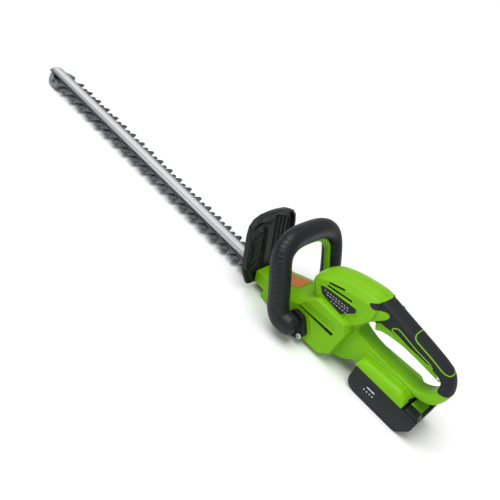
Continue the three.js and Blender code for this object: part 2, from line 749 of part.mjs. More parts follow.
// A coil round the trigger's pin.
function triggerSpring() {
  const points = [];
  const turns = 3;
  for (let i = 0; i <= turns * 8; i += 1) {
    const angle = (i / 8) * 2 * Math.PI;
    const y = -3.6 + (7.2 * i) / (turns * 8);
    points.push([PIVOT[0] + 4 * Math.cos(angle), y, PIVOT[1] + 4 * Math.sin(angle)]);
  }
  return tube(points, 0.6, 4, turns * 8);
}

// A switch inside the front handle, above the middle of its bar.
function frontSwitch() {
  const block = new THREE.BoxGeometry(9, 18, 8).translate(0, 0, 2.5);
  return block.rotateY(BAIL_LEAN).translate(BAIL_TOP[0], 0, BAIL_TOP[2]);
}

const TERMINALS = [-10, 0, 10];

function terminalBlock() {
  const pins = TERMINALS.map((y) => solid(box([-346, -330], [y - 0.6, y + 0.6], [43.2, 45.8])));
  return geometryOf(join(solid(box([-335.4, -326.6], [-18, 18], [40.6, 46.4])), ...pins));
}

// ----------------------------------------------------------------------- battery

const BATTERY_OUTLINE = [
  [-327, 34], [-441, 34], [-441, 20, 4], [-425, 0, 6], [-344, 0, 5], [-330, 7, 4], [-327, 15, 3],
];

function batteryBase() {
  const tub = solid(sideways(BATTERY_OUTLINE, -BATTERY_HALF, BATTERY_HALF));
  const room = solid(sideways(inset(BATTERY_OUTLINE, 2.2), 2.5 - BATTERY_HALF, BATTERY_HALF - 2.5));
  const mouth = solid(box([-438.8, -329.2], [2.5 - BATTERY_HALF, BATTERY_HALF - 2.5], [20, 40]));
  return geometryOf(cut(tub, room, mouth));
}

const BUTTON_SLOPE = Math.atan2(BUTTON_TOP[1] - BUTTON_FOOT[1], BUTTON_TOP[0] - BUTTON_FOOT[0]);

// Takes a flat block (along the slope, across, outward) onto the button's slope.
function ontoSlope(geometry) {
  const x = (BUTTON_TOP[0] + BUTTON_FOOT[0]) / 2;
  const z = (BUTTON_TOP[1] + BUTTON_FOOT[1]) / 2;
  return geometry.rotateY(-BUTTON_SLOPE).translate(x, 0, z);
}

function batteryCover() {
  const lid = solid(box([-441, -327], [-BATTERY_HALF, BATTERY_HALF], [34.3, 38.4]));
  const neck = solid(box([-415, -337], [-BLOCK_NECK, BLOCK_NECK], [38, 43]));
  const rail = solid(box([-415, -337], [-BLOCK_HALF, BLOCK_HALF], [42.4, 46.4]));
  const cheek = (side) => solid(sideways(
    [[-417, 38, 0], [-417, 45, 2], [-437, 45, 4], [-441, 38, 0]], side > 0 ? 20 : -35, side > 0 ? 35 : -20,
  ));
  const under = solid(box([-438, -330], [2.5 - BATTERY_HALF, BATTERY_HALF - 2.5], [30, 35.8]));
  const room = solid(box([-411, -355], [-13, 13], [35, 44]));
  const pocket = solid(ontoSlope(new THREE.BoxGeometry(22, 37, 9).translate(0, 0, -2)));
  const slots = TERMINALS.map((y) => solid(box([-352, -320], [y - 1.2, y + 1.2], [42.6, 49])));
  return geometryOf(cut(join(lid, neck, rail, cheek(1), cheek(-1)), under, room, pocket, ...slots));
}

function releaseButton() {
  return ontoSlope(new THREE.BoxGeometry(20, 36, 4).translate(0, 0, -1));
}

function cell(i) {
  return crossbar(-341 - 18.8 * i, 15, [-32.5, 32.5], 9.2, 14);
}

// ---------------------------------------------------------------------- assembly

const trimmer = new THREE.Group();

function add(name, geometry, material) {
  const mesh = new THREE.Mesh(geometry, finish(...material));
  mesh.name = name;
  trimmer.add(mesh);
}

function addPair(name, make, material) {
  add(`${name}_left`, make(1), material);
  add(`${name}_right`, make(-1), material);
}

addPair('housing', housingHalf, GREEN);
addPair('grip', grip, RUBBER);
addPair('nameplate', nameplate, BLACK);
add('deck_label', deckLabel(), ORANGE);
HOUSING_SCREWS.forEach(([x, z], i) => {
  const head = solid(crossbar(x, z, [-HANDLE_HALF - 3, -HANDLE_HALF - GAP], 3.6, 10));
  const shank = solid(crossbar(x, z, [-HANDLE_HALF - 1, 9], 1.5, 6));
  add(`housing_screw_${i + 1}`, geometryOf(join(head, shank)), STEEL);
});

add('hand_guard', handGuard(), BLACK);
add('guard_screw_left', guardScrew(GUARD_SCREWS[1]), STEEL);
add('guard_screw_right', guardScrew(GUARD_SCREWS[0]), STEEL);

add('handle_shell_front', handleShell(true), BLACK);
add('handle_shell_rear', handleShell(false), BLACK);
add('front_switch_bar', switchBar(5.8, 0, 6), GREEN);
add('front_switch', frontSwitch(), CHARCOAL);
addPair('handle_bracket', handleBracket, BLACK);
addPair('bracket_screw', bracketScrew, STEEL);

add('upper_blade', blade(BLADE_SHIFT, UPPER_BLADE), TOOL_STEEL);
add('lower_blade', blade(0, LOWER_BLADE), TOOL_STEEL);
add('blade_support_bar', supportBar(), STEEL);
add('tip_protector', tipProtector(), GREY_PLASTIC);
for (let i = 0; i < BOLT_COUNT; i += 1) add(`blade_bolt_${i + 1}`, bladeBolt(i), STEEL);

add('gear_case_lower', gearCaseLower(), ALLOY);
add('gear_case_upper', gearCaseUpper(), ALLOY);
add('drive_gear', driveGear(), TOOL_STEEL);
add('gear_shaft', post(GEAR_X, 0, [3.4, 37], SHAFT_RADIUS), STEEL);
add('bearing_lower', bearing(3, 8), STEEL);
add('bearing_upper', bearing(31, 37), STEEL);
add('motor_can', motorCan(), ALLOY);
add('motor_rotor', motorRotor(), COPPER);
add('motor_pinion', motorPinion(), TOOL_STEEL);
add('motor_fan', motorFan(), BLACK);

add('trigger', trigger(), GREEN);
add('trigger_pin', crossbar(...PIVOT, [-16.2, 16.2], 2.5, 10), STEEL);
add('trigger_spring', triggerSpring(), STEEL);
add('trigger_switch', box([-372, -352], [-5, 5], [118.6, 123.4]), BLACK);
add('control_board', box([-392, -342], [-12, 12], [52, 53.6]), BOARD);
add('terminal_block', terminalBlock(), BLACK);

add('battery_base', batteryBase(), CHARCOAL);
add('battery_cover', batteryCover(), CHARCOAL);
add('release_button', releaseButton(), GREEN);
add('battery_board', box([-432, -336], [-30, 30], [26, 27.6]), BOARD);
for (let i = 0; i < 5; i += 1) add(`cell_${i + 1}`, cell(i), CELL_WRAP);

export default trimmer;
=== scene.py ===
# A cordless hedge trimmer: the finished surfaces, built round its CAD frame.
# Sizes below are in millimetres until they reach a mesh, which is in metres.
# +X runs forward along the blade, +Y is the left side, +Z is up.

import math

import bmesh
import bpy
from mathutils import Matrix, Vector
from mathutils.bvhtree import BVHTree
from mathutils.geometry import tessellate_polygon


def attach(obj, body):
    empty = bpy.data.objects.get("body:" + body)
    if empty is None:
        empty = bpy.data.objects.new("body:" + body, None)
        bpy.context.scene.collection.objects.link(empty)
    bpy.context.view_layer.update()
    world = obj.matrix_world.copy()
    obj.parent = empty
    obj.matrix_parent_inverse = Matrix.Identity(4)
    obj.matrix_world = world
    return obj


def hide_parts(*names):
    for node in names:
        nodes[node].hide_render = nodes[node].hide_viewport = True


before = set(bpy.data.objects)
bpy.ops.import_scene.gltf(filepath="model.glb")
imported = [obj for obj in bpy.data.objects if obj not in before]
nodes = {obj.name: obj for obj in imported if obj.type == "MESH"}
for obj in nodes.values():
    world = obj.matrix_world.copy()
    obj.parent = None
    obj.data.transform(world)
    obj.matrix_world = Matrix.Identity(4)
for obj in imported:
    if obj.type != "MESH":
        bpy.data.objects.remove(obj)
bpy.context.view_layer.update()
MM = 0.001
BOTH_SIDES = ((1, "left"), (-1, "right"))


# ------------------------------------------------------------------ materials


class Finish:
    """A material under construction: its nodes are made and joined by short calls."""

    def __init__(self, name, colour, roughness, metallic=0.0):
        self.material = bpy.data.materials.new(name)
        self.material.use_nodes = True
        self.tree = self.material.node_tree
        self.shader = self.tree.nodes["Principled BSDF"]
        self.shader.inputs["Base Color"].default_value = (*colour, 1)
        self.shader.inputs["Roughness"].default_value = roughness
        self.shader.inputs["Metallic"].default_value = metallic
        self.place = self.tree.nodes.new("ShaderNodeTexCoord").outputs["Object"]
        self.height = None

    def join(self, start, end):
        self.tree.links.new(start, end)

    def stretched(self, scale):
        """Object coordinates, stretched."""
        mapping = self.tree.nodes.new("ShaderNodeMapping")
        mapping.inputs["Scale"].default_value = scale
        self.join(self.place, mapping.inputs["Vector"])
        return mapping.outputs["Vector"]

    def noise(self, scale, detail, place=None):
        node = self.tree.nodes.new("ShaderNodeTexNoise")
        node.inputs["Scale"].default_value = scale
        node.inputs["Detail"].default_value = detail
        self.join(place or self.place, node.inputs["Vector"])
        return node.outputs["Fac"]

    def cells(self, scale):
        node = self.tree.nodes.new("ShaderNodeTexVoronoi")
        node.inputs["Scale"].default_value = scale
        self.join(self.place, node.inputs["Vector"])
        return node.outputs["Distance"]

    def ramp(self, value, *stops):
        """Turns a value into a colour through (position, colour) stops."""
        node = self.tree.nodes.new("ShaderNodeValToRGB")
        points = node.color_ramp.elements
        while len(points) < len(stops):
            points.new(0.5)
        for point, (position, colour) in zip(points, stops):
            point.position = position
            point.color = (*colour, 1)
        self.join(value, node.inputs["Fac"])
        return node.outputs["Color"]

    def span(self, value, low, high):
        """Takes a value of 0 to 1 to the span from low to high."""
        node = self.tree.nodes.new("ShaderNodeMapRange")
        node.inputs["To Min"].default_value = low
        node.inputs["To Max"].default_value = high
        self.join(value, node.inputs["Value"])
        return node.outputs["Result"]

    def colour(self, value, *stops):
        self.join(self.ramp(value, *stops), self.shader.inputs["Base Color"])
        return self

    def roughness(self, value, low, high):
        self.join(self.span(value, low, high), self.shader.inputs["Roughness"])
        return self

    def bump(self, value, depth, strength):
        """Raises the surface by a value; depth is in metres."""
        node = self.tree.nodes.new("ShaderNodeBump")
        node.inputs["Strength"].default_value = strength
        node.inputs["Distance"].default_value = depth
        self.join(value, node.inputs["Height"])
        if self.height:
            self.join(self.height, node.inputs["Normal"])
        self.height = node.outputs["Normal"]
        self.join(self.height, self.shader.inputs["Normal"])
        return self


def moulded_plastic(name, colour, roughness, grain=2600, depth=0.00004, shine=0.5):
    """Injection-moulded plastic: spark-eroded grain and faint sheen changes."""
    made = Finish(name, colour, roughness)
    cloud = made.noise(28, 2)
    dull = tuple(c * 0.93 for c in colour)
    made.colour(cloud, (0.35, dull), (0.65, colour))
    made.roughness(made.noise(300, 4), roughness - 0.06, roughness + 0.08)
    made.bump(made.noise(grain, 2), depth, 0.5)
    made.shader.inputs["Specular IOR Level"].default_value = shine
    return made.material


def soft_rubber(name, colour):
    """Overmoulded grip rubber with a pebbled, leather-like grain."""
    made = Finish(name, colour, 0.62)
    pebble = made.cells(620)
    light = tuple(c * 1.45 for c in colour)
    made.colour(pebble, (0.1, colour), (0.75, light))
    made.roughness(made.noise(120, 3), 0.55, 0.72)
    made.bump(pebble, 0.00035, 0.55)
    made.bump(made.noise(1800, 3), 0.00006, 0.5)
    made.shader.inputs["Specular IOR Level"].default_value = 0.28
    return made.material


def rolled_steel(name, colour, roughness, along):
    """Steel with fine lines along its length."""
    made = Finish(name, colour, roughness, 1.0)
    lines = made.noise(45, 5, made.stretched(along))
    dull = tuple(c * 0.78 for c in colour)
    made.colour(lines, (0.3, dull), (0.7, colour))
    made.roughness(lines, roughness - 0.07, roughness + 0.12)
    made.bump(lines, 0.00003, 0.4)
    return made.material


def bar_steel_painted_light(name):
    """The support bar's steel: a painted highlight along its crown, duller flanks and painted
    shade at its edges.
    """
    made = Finish(name, (0.8, 0.81, 0.82), 0.3, 0.55)
    axes = made.tree.nodes.new("ShaderNodeSeparateXYZ")
    made.join(made.place, axes.inputs["Vector"])
    middle = made.tree.nodes.new("ShaderNodeMath")
    middle.operation = "ABSOLUTE"
    made.join(axes.outputs["Y"], middle.inputs[0])
    share = made.tree.nodes.new("ShaderNodeMath")
    share.operation = "MULTIPLY"
    share.inputs[1].default_value = 70
    made.join(middle.outputs["Value"], share.inputs[0])
    # colour by distance from the middle: painted highlight on the crown, plain grey, then painted
    # shade at the edges
    painted_highlight, dull, painted_shade = (0.98, 0.98, 0.98), (0.46, 0.47, 0.49), (0.1, 0.1, 0.11)
    made.colour(
        share.outputs["Value"], (0.38, painted_highlight), (0.41, dull), (0.62, dull), (0.86, painted_shade)
    )
    lines = made.noise(45, 5, made.stretched((2, 90, 90)))
    made.roughness(lines, 0.2, 0.42)
    made.bump(lines, 0.00003, 0.4)
    return made.material


def ground_steel(name, colour):
    """Tool steel, made dark as painted shade and rubbed lighter in places."""
    made = Finish(name, colour, 0.36, 0.9)
    lines = made.noise(60, 4, made.stretched((8, 1, 8)))
    patches = made.noise(14, 3)
    made.colour(patches, (0.3, colour), (0.75, tuple(c * 1.7 for c in colour)))
    made.roughness(lines, 0.28, 0.5)
    made.bump(lines, 0.00004, 0.5)
    return made.material


def die_cast(name, colour):
    made = Finish(name, colour, 0.5, 0.85)
    made.roughness(made.noise(200, 4), 0.4, 0.6)
    made.bump(made.noise(900, 4), 0.0001, 0.5)
    return made.material


def printed_sheet(name, colour, roughness=0.35):
    """A vinyl sticker or printed plate, faintly uneven."""
    made = Finish(name, colour, roughness)
    cloud = made.noise(90, 3)
    made.colour(cloud, (0.3, tuple(c * 0.9 for c in colour)), (0.7, colour))
    made.bump(made.noise(700, 2), 0.00003, 0.4)
    made.shader.inputs["Specular IOR Level"].default_value = 0.3
    return made.material


GREEN = moulded_plastic("green_moulding", (0.190, 0.490, 0.001), 0.42, shine=0.22)
BLACK = moulded_plastic("black_moulding", (0.010, 0.011, 0.013), 0.40, 1500, 0.00006, 0.3)
CHARCOAL = moulded_plastic("battery_charcoal", (0.006, 0.009, 0.011), 0.33, 1700, 0.00005, 0.32)
GREY = moulded_plastic("grey_moulding", (0.17, 0.19, 0.21), 0.45)
RUBBER = soft_rubber("grip_rubber", (0.010, 0.011, 0.014))
ORANGE = printed_sheet("orange_sticker", (0.70, 0.215, 0.028))
PLATE = printed_sheet("black_plate", (0.006, 0.006, 0.008), 0.28)
PRINT = printed_sheet("pale_print", (0.75, 0.76, 0.77), 0.4)
STEEL = bar_steel_painted_light("bar_steel_painted_highlight")
SCREW = rolled_steel("zinc_steel", (0.66, 0.66, 0.64), 0.3, (40, 40, 40))
# the blade steel's dark colour is painted shade
BLADE = ground_steel("tool_steel_painted_shade", (0.10, 0.105, 0.112))
ALLOY = die_cast("cast_alloy", (0.42, 0.42, 0.43))
COPPER = rolled_steel("wound_copper", (0.45, 0.17, 0.07), 0.35, (60, 60, 4))
BOARD = printed_sheet("board_green", (0.014, 0.11, 0.035))
WRAP = printed_sheet("cell_wrap", (0.05, 0.18, 0.38))


# ------------------------------------------------------------- mesh building


def mesh_object(name, points, faces, material=None):
    """A new object at the origin; points are in millimetres."""
    mesh = bpy.data.meshes.new(name)
    mesh.from_pydata([Vector(p) * MM for p in points], [], faces)
    mesh.validate()
    obj = bpy.data.objects.new(name, mesh)
    bpy.context.scene.collection.objects.link(obj)
    if material:
        mesh.materials.append(material)
    return obj


def drop(*objects):
    for obj in objects:
        mesh = obj.data
        bpy.data.objects.remove(obj)
        if mesh.users == 0:
            bpy.data.meshes.remove(mesh)


def applied(obj):
    """The object with its modifiers turned into its mesh."""
    bpy.context.view_layer.update()
    graph = bpy.context.evaluated_depsgraph_get()
    mesh = bpy.data.meshes.new_from_object(obj.evaluated_get(graph), depsgraph=graph)
    old = obj.data
    mesh.name = obj.name
    obj.modifiers.clear()
    obj.data = mesh
    if old.users == 0:
        bpy.data.meshes.remove(old)
    return obj


def boolean(obj, operation, tools):
    """Joins, cuts or intersects obj with solids, which are used up."""
    for tool in tools:
        modifier = obj.modifiers.new("solid", "BOOLEAN")
        modifier.operation = operation
        modifier.solver = "MANIFOLD"
        modifier.object = tool
    applied(obj)
    drop(*tools)
    return obj


def join(obj, *tools):
    return boolean(obj, "UNION", tools)


def cut(obj, *tools):
    return boolean(obj, "DIFFERENCE", tools)


def keep(obj, *tools):
    return boolean(obj, "INTERSECT", tools)


def copied(obj, name=None):
    twin = bpy.data.objects.new(name or obj.name, obj.data.copy())
    bpy.context.scene.collection.objects.link(twin)
    return twin


def melted(obj, size, smoothing):
    """Runs neighbouring solids into one skin with small fillets; size in mm."""
    remesh = obj.modifiers.new("skin", "REMESH")
    remesh.mode = "VOXEL"
    remesh.voxel_size = size * MM
    smooth = obj.modifiers.new("fillets", "SMOOTH")
    smooth.factor = 0.5
    smooth.iterations = smoothing
    return applied(obj)


def softened(obj, angle):
    """Smooth shading, kept sharp at edges steeper than an angle in degrees."""
    mesh = obj.data
    mesh.polygons.foreach_set("use_smooth", [True] * len(mesh.polygons))
    mesh.set_sharp_from_angle(angle=math.radians(angle))
    return obj


def painted(obj, material):
    obj.data.materials.clear()
    obj.data.materials.append(material)
    obj.data.polygons.foreach_set("material_index", [0] * len(obj.data.polygons))
    return obj


def settled(obj, body, slot, *replaced):
    """Hands a finished piece to the frame."""
    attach(obj, body)
    if replaced:
        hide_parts(*replaced)
    return obj


def inset(corners, distance):
    """Corners of an anticlockwise outline, moved inward."""
    moved = []
    for i, corner in enumerate(corners):
        here = Vector(corner)
        before = (here - Vector(corners[i - 1])).normalized()
        after = (Vector(corners[(i + 1) % len(corners)]) - here).normalized()
        inward = Vector((-before.y - after.y, before.x + after.x))
        moved.append(tuple(here + inward * (distance / (1 + before.dot(after)))))
    return moved


def rounded(corners, radius, steps=5):
    """Points of an outline with every corner turned into a curve."""
    points = []
    count = len(corners)
    for i, corner in enumerate(corners):
        here = Vector(corner[:2])
        before = Vector(corners[i - 1][:2])
        after = Vector(corners[(i + 1) % count][:2])
        own = corner[2] if len(corner) > 2 else radius
        back = min(own, (before - here).length * 0.48)
        on = min(own, (after - here).length * 0.48)
        start = here + (before - here).normalized() * back
        end = here + (after - here).normalized() * on
        for step in range(steps + 1):
            t = step / steps
            points.append((1 - t) ** 2 * start + 2 * t * (1 - t) * here + t * t * end)
    return points


def loft(name, stations):
    """A closed skin through rings of points, first to last."""
    count = len(stations[0])
    points = [p for ring in stations for p in ring]
    faces = []
    for s in range(len(stations) - 1):
        for i in range(count):
            j = (i + 1) % count
            here = s * count
            faces.append((here + i, here + count + i, here + count + j, here + j))
    last = (len(stations) - 1) * count
    first_cap = tessellate_polygon([[Vector(p) for p in stations[0]]])
    last_cap = tessellate_polygon([[Vector(p) for p in stations[-1]]])
    faces += [tuple(face) for face in first_cap]
    faces += [tuple(last + i for i in face) for face in last_cap]
    obj = mesh_object(name, points, faces)
    return outward(obj)


def outward(obj):
    """Merges doubles and turns every face outward."""
    bm = bmesh.new()
    bm.from_mesh(obj.data)
    bmesh.ops.remove_doubles(bm, verts=bm.verts, dist=1e-7)
    bmesh.ops.recalc_face_normals(bm, faces=bm.faces)
    bm.to_mesh(obj.data)
    bm.free()
    return obj


def slab(corners, low, high, radius=0.0, steps=4, plane="xz"):
    """An outline given thickness: (x, z) corners along Y, or (x, y) corners along Z."""
    ring = rounded(corners, radius, steps) if radius else [Vector(c[:2]) for c in corners]
    if plane == "xz":
        return loft("slab", [[(p.x, y, p.y) for p in ring] for y in (low, high)])
    return loft("slab", [[(p.x, p.y, z) for p in ring] for z in (low, high)])


def block(x, y, z):
    return slab([(x[0], z[0]), (x[1], z[0]), (x[1], z[1]), (x[0], z[1])], *y)


def rod(x, z, y, radius):
    """A cylinder along Y."""
    sides = 24
    ring = []
    for i in range(sides):
        turn = 2 * math.pi * i / sides
        ring.append((x + radius * math.cos(turn), z + radius * math.sin(turn)))
    return slab(ring, *y)


def smooth_path(points, count):
    """A curve through points, as evenly many places along it."""
    knots = [Vector(p) for p in points]
    knots = [2 * knots[0] - knots[1], *knots, 2 * knots[-1] - knots[-2]]
    times = [0.0]
    for a, b in zip(knots, knots[1:]):
        times.append(times[-1] + max((b - a).length, 1e-6) ** 0.5)
    path = []
    for k in range(count):
        t = times[1] + (times[-2] - times[1]) * k / (count - 1)
        following = next((n for n in range(2, len(times) - 1) if times[n] >= t), 2)
        i = max(1, min(len(knots) - 3, following - 1))
        p0, p1, p2, p3 = knots[i - 1 : i + 3]
        t0, t1, t2, t3 = times[i - 1 : i + 3]
        a1 = (p0 * (t1 - t) + p1 * (t - t0)) / (t1 - t0)
        a2 = (p1 * (t2 - t) + p2 * (t - t1)) / (t2 - t1)
        a3 = (p2 * (t3 - t) + p3 * (t - t2)) / (t3 - t2)
        b1 = (a1 * (t2 - t) + a2 * (t - t0)) / (t2 - t0)
        b2 = (a2 * (t3 - t) + a3 * (t - t1)) / (t3 - t1)
        path.append((b1 * (t2 - t) + b2 * (t - t1)) / (t2 - t1))
    return path


def sweep(name, path, radius, sides, steady=(0, 1, 0), squash=1.0):
    """A round bar along a path. radius is a number or a function of (share, angle)."""
    steady = Vector(steady)
    stations = []
    for k, spot in enumerate(path):
        ahead = path[min(k + 1, len(path) - 1)] - path[max(k - 1, 0)]
        ahead.normalize()
        side = ahead.cross(steady)
        side.normalize()
        up = side.cross(ahead)
        ring = []
        for i in range(sides):
            turn = 2 * math.pi * i / sides
            reach = radius(k / (len(path) - 1), turn) if callable(radius) else radius
            over = side * (reach * math.cos(turn))
            rise = up * (reach * squash * math.sin(turn))
            ring.append(tuple(spot + over + rise))
        stations.append(ring)
    return loft(name, stations)


def refined(node, width, name=None, segments=2):
    """A copy of a CAD node with its edges rounded by that width, in mm."""
    obj = copied(nodes[node], name or f"{node}_finished")
    bm = bmesh.new()
    bm.from_mesh(obj.data)
    bmesh.ops.remove_doubles(bm, verts=bm.verts, dist=2e-6)
    bmesh.ops.dissolve_limit(bm, angle_limit=math.radians(1.5), verts=bm.verts, edges=bm.edges)
    bm.to_mesh(obj.data)
    bm.free()
    bevel = obj.modifiers.new("edges", "BEVEL")
    bevel.width = width * MM
    bevel.segments = segments
    bevel.limit_method = "ANGLE"
    bevel.angle_limit = math.radians(28)
    applied(obj)
    return softened(obj, 40)


# ---------------------------------------------------------------- the housing

BODY_HALF, POD_HALF, HANDLE_HALF, BEAM_HALF, FOOT_HALF = 42, 31, 18, 20, 38
WALL = 3
BRACKET_SCREW = (-236, 14)
TRIGGER_PIN = (-421, 104)
TRIGGER_SLOT = [(-429, 92), (-302, 92), (-302, 113.5), (-429, 113.5)]

BODY = {
    "half": BODY_HALF,
    "flat": 20,
    "crest": [
        (-124, 0), (-112.5, 28), (-148, 37), (-186, 53), (-210, 63), (-226, 80), (-281, 80),
        (-291, 64), (-287, 16), (-272, 0),
    ],
    "side": [
        (-124, 8), (-116, 20), (-150, 28), (-186, 39), (-203, 47), (-224, 77), (-279, 77),
        (-288, 63), (-284, 22), (-268, 8),
    ],
    "round": 3,
}
POD = {
    "half": POD_HALF,
    "flat": 8,
    "crest": [
        (-212, 42), (-206, 68), (-192, 88), (-197, 100), (-206, 111), (-220, 119.5),
        (-240, 128.5), (-261, 134), (-284, 138), (-300, 137), (-306, 122), (-301, 98),
        (-281, 70), (-278, 42),
    ],
    "side": [
        (-221, 42), (-221, 74), (-206, 86), (-202, 93), (-208, 101), (-219, 106), (-240, 112),
        (-263, 117), (-284, 123), (-298, 123), (-304, 110), (-298, 95), (-280, 70), (-276, 42),
    ],
    "round": 9,
}
LOOP = {
    "half": HANDLE_HALF,
    "flat": 4,
    "crest": [
        (-262, 56), (-262, 134), (-300, 138), (-332, 133), (-360, 129), (-388, 125),
        (-412, 121), (-430, 116), (-441, 106), (-449, 92), (-449, 80), (-444, 66),
        (-434, 56), (-414, 50.5), (-400, 50.5),
    ],
    "round": 12,
}
LOOP["side"] = inset(LOOP["crest"], 6)
OPENING = [
    (-290, 74), (-299, 94), (-304, 105), (-422, 105), (-430, 97), (-430, 84), (-424, 73),
    (-410, 64), (-364, 63), (-322, 65), (-300, 70),
]
BEAM = {
    "half": BEAM_HALF,
    "flat": 7,
    "crest": [
        (-262, 3), (-262, 68), (-292, 73), (-322, 65), (-364, 63), (-404, 62.5), (-412, 58),
        (-414, 43), (-325, 39.2), (-325, 32), (-300, 12), (-280, 3),
    ],
    "side": [
        (-262, 10), (-262, 60), (-290, 60), (-324, 54), (-354, 57), (-392, 56), (-405, 54),
        (-409, 42.5), (-325, 39.2), (-322, 34), (-298, 17), (-282, 10),
    ],
    "round": 6,
}
FOOT = {
    "half": FOOT_HALF,
    "flat": 30,
    "crest": [
        (-323, 39), (-326, 50), (-333, 53), (-398, 57.5), (-407, 52), (-412.5, 44), (-412.5, 39),
    ],
    "side": [
        (-323.5, 39), (-325, 43.5), (-333, 45.5), (-399, 48.5), (-406, 45.5), (-412, 42),
        (-412, 39),
    ],
    "round": 1.2,
}


# Steps from the crest line to the side face: how far out, and how far down.
CROWN = [(0, 0), (0.62, 0.28), (0.69, 0.37), (0.97, 0.9), (1, 1)]


def stretch(spec, wall=0.0):
    """A length of the housing, crowned across its width; wall moves it in."""
    crest = rounded(inset(spec["crest"], wall), spec["round"])
    side = rounded(inset(spec["side"], wall), spec["round"])
    rings = []
    for reach, share in CROWN:
        y = spec["flat"] + (spec["half"] - spec["flat"]) * reach - wall
        rings.append([(p.x, y, p.y) for p in (c.lerp(s, share) for c, s in zip(crest, side))])
    mirror = [[(x, -y, z) for x, y, z in ring] for ring in rings]
    return loft("stretch", [*reversed(mirror), *rings])


def hand_opening(wall=0.0):
    """The space inside the rear handle, flared towards both sides."""
    middle = rounded(inset(OPENING, -wall), 7)
    edge = rounded(inset(OPENING, -wall - 4), 9)
    rings = []
    for k in range(6):
        turn = 0.5 * math.pi * k / 5
        share = 1 - math.cos(turn)
        y = 10 + (HANDLE_HALF - 10) * math.sin(turn)
        rings.append([(p.x, y, p.y) for p in (m.lerp(e, share) for m, e in zip(middle, edge))])
    rings.append([(p.x, 60, p.y) for p in edge])
    mirror = [[(x, -y, z) for x, y, z in ring] for ring in rings]
    return loft("opening", [*reversed(mirror), *rings])


def nose_cuts(wall):
    """What narrows the nose towards the guard, on both sides and below."""
    tools = []
    for side in (1, -1):
        line = [(-90, 22), (-130, 29), (-152, 33), (-185, BODY_HALF)]
        plan = [(x, side * (y - wall)) for x, y in line] + [(-185, side * 60), (-90, side * 60)]
        tools.append(slab(plan, -10, 120, plane="xy"))
        chamfer = block((-142, -82), (0, 60), (wall - 30, wall))
        tilt = Matrix.Rotation(math.radians(37), 4, "X")
        chamfer.data.transform(Matrix.Translation((0, 0.013, 0)) @ tilt)
        if side < 0:
            chamfer.data.transform(Matrix.Scale(-1, 4, (0, 1, 0)))
            outward(chamfer)
        tools.append(chamfer)
    return tools


def ridge(points, radius, side, y):
    """A moulded ridge on a side face, along (x, z) points."""
    path = smooth_path([(x, side * y, z) for x, z in points], 6 * len(points))
    return sweep("ridge", path, radius, 10)


def slot_tool(start, end, height, side, reach):
    """A long round-ended cutter through a side face, from one (x, z) to another."""
    a, b = Vector(start), Vector(end)
    along = (b - a).normalized()
    across = Vector((-along.y, along.x)) * height / 2
    outline = [a - across, b - across, b + across, a + across]
    low, high = sorted((side * reach[0], side * reach[1]))
    return slab([tuple(p) for p in outline], low, high, height * 0.5, 4)


def handle_flare(wall=0.0):
    """Carries the pod's width into the rear handle."""
    rings = []
    for x, half, low, high in [
        (-268, 30.5, 74, 132), (-284, 29, 84, 134), (-299, 26, 98, 134.5), (-314, 22, 108, 133),
        (-330, 18.4, 109, 130),
    ]:
        corners = [
            (-half, low), (half, low), (half, high - 12), (half - 11, high), (11 - half, high),
            (-half, high - 12),
        ]
        rings.append([(x, p.x, p.y) for p in rounded(inset(corners, wall), 5)])
    return loft("flare", rings)


# Raised edges on the pod and the body, and a groove on the rail cover, as x and z.
POD_EDGE = [(-207, 92), (-214, 83), (-222, 78.5), (-264, 75), (-283, 100)]
BODY_EDGE = [(-205, 48), (-211, 47), (-228, 45.5), (-247, 24), (-247, 10)]
COVER_GROOVE = [(-331, 53.6), (-350, 55.6), (-375, 57.2), (-399, 58.6)]


def outer_skin():
    """The whole outside of the green housing, one skin with small fillets."""
    skin = stretch(BODY)
    cut(skin, *nose_cuts(0))
    loop = cut(stretch(LOOP), hand_opening())
    beam = cut(stretch(BEAM), hand_opening())
    join(skin, stretch(POD), loop, beam, stretch(FOOT), handle_flare())
    edges = []
    for side in (1, -1):
        edges.append(ridge(POD_EDGE, 1.3, side, POD_HALF - 0.4))
        edges.append(ridge(BODY_EDGE, 1.3, side, BODY_HALF - 0.4))
    join(skin, *edges)
    grooves = [ridge(COVER_GROOVE, 1.1, side, BEAM_HALF + 0.8) for side in (1, -1)]
    return melted(cut(skin, *grooves), 0.8, 2)


def inner_room():
    """The hollow inside the housing."""
    room = stretch(BODY, WALL)
    cut(room, *nose_cuts(WALL))
    loop = cut(stretch(LOOP, WALL), hand_opening(WALL))
    beam = cut(stretch(BEAM, WALL), hand_opening(WALL))
    return join(room, stretch(POD, WALL), loop, beam)


def panel_tool(corners, side, reach):
    """A shallow recess in a side face."""
    low, high = sorted((side * reach[0], side * reach[1]))
    return slab(corners, low, high, 1.5)


def side_details(side):
    """Cutters for the vents, seams and recesses of one side of the housing."""
    far = (20, 50)
    return [
        slot_tool((-266, 108.2), (-222, 100), 3.8, side, far),
        slot_tool((-248, 114), (-222, 105.5), 3.6, side, far),
        panel_tool([(-205.5, 46), (-272, 46.8), (-274, 53), (-205.5, 49.6)], side, far),
        panel_tool([(-209, 53.6), (-215, 61.4), (-268, 66.4), (-272, 57.6)], side, (41.1, 50)),
    ]


def housing_cuts(side):
    """Cutters that both halves of the housing share, and those of one side."""
    return [
        # the battery's rail: the wide part, then the neck below it
        block((-451, -331), (-20.1, 20.1), (41.8, 47)),
        block((-451, -331), (-16.6, 16.6), (37, 42)),
        slab(TRIGGER_SLOT, -14.6, 14.6),
        # the window for the gear case, the mouth for the blades, the terminal block's seat
        block((-234, -142), (-26.4, 26.4), (-2, 8.6)),
        block((-150, -90), (-17, 17), (6, 23)),
        block((-336, -326), (-18.6, 18.6), (39, 47)),
        rod(*BRACKET_SCREW, (-60, 60), 2.2),
        rod(*TRIGGER_PIN, (-16.6, 16.6), 2.8),
        *side_details(side),
    ]


